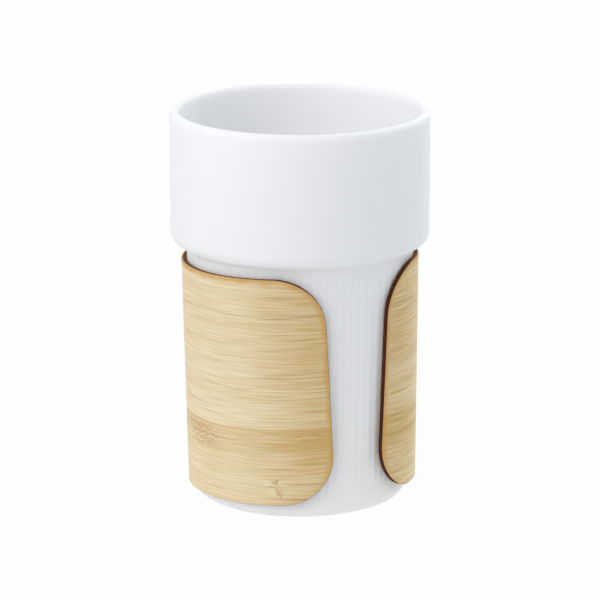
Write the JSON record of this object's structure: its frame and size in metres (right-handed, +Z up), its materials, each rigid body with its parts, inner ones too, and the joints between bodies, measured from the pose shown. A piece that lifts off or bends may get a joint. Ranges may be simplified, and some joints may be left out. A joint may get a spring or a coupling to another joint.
{
  "type": "travel mug",
  "caption": "Open porcelain mug with a wide smooth collar, a finely fluted tapering body and a slip-off bent bamboo hand sleeve with an open front.",
  "frame": {"origin": "on the cup's axis, at the table", "axes": "+Z up along the cup's axis, -Y towards the middle of the sleeve's front gap"},
  "size_m": [0.08, 0.08, 0.1215],
  "materials": {
    "glazed_porcelain": "white porcelain under a smooth clear glaze, bare on the foot ring",
    "bamboo_face": "satin bamboo veneer, fine grain round the cup, edges browned by the laser cut",
    "bamboo_core": "plain bamboo veneer, seen only at its browned edge",
    "bamboo_back": "matt bamboo veneer"
  },
  "bodies": {
    "sleeve": {"sleeve_face_veneer": "bamboo_face", "sleeve_core_veneer": "bamboo_core", "sleeve_back_veneer": "bamboo_back"},
    "cup": {"porcelain_cup": "glazed_porcelain"}
  },
  "joints": [
    {"name": "cup_lift_out", "type": "slide", "parent": "sleeve", "child": "cup", "axis": [0, 0, 1], "range_m": [0, 0.085]}
  ]
}
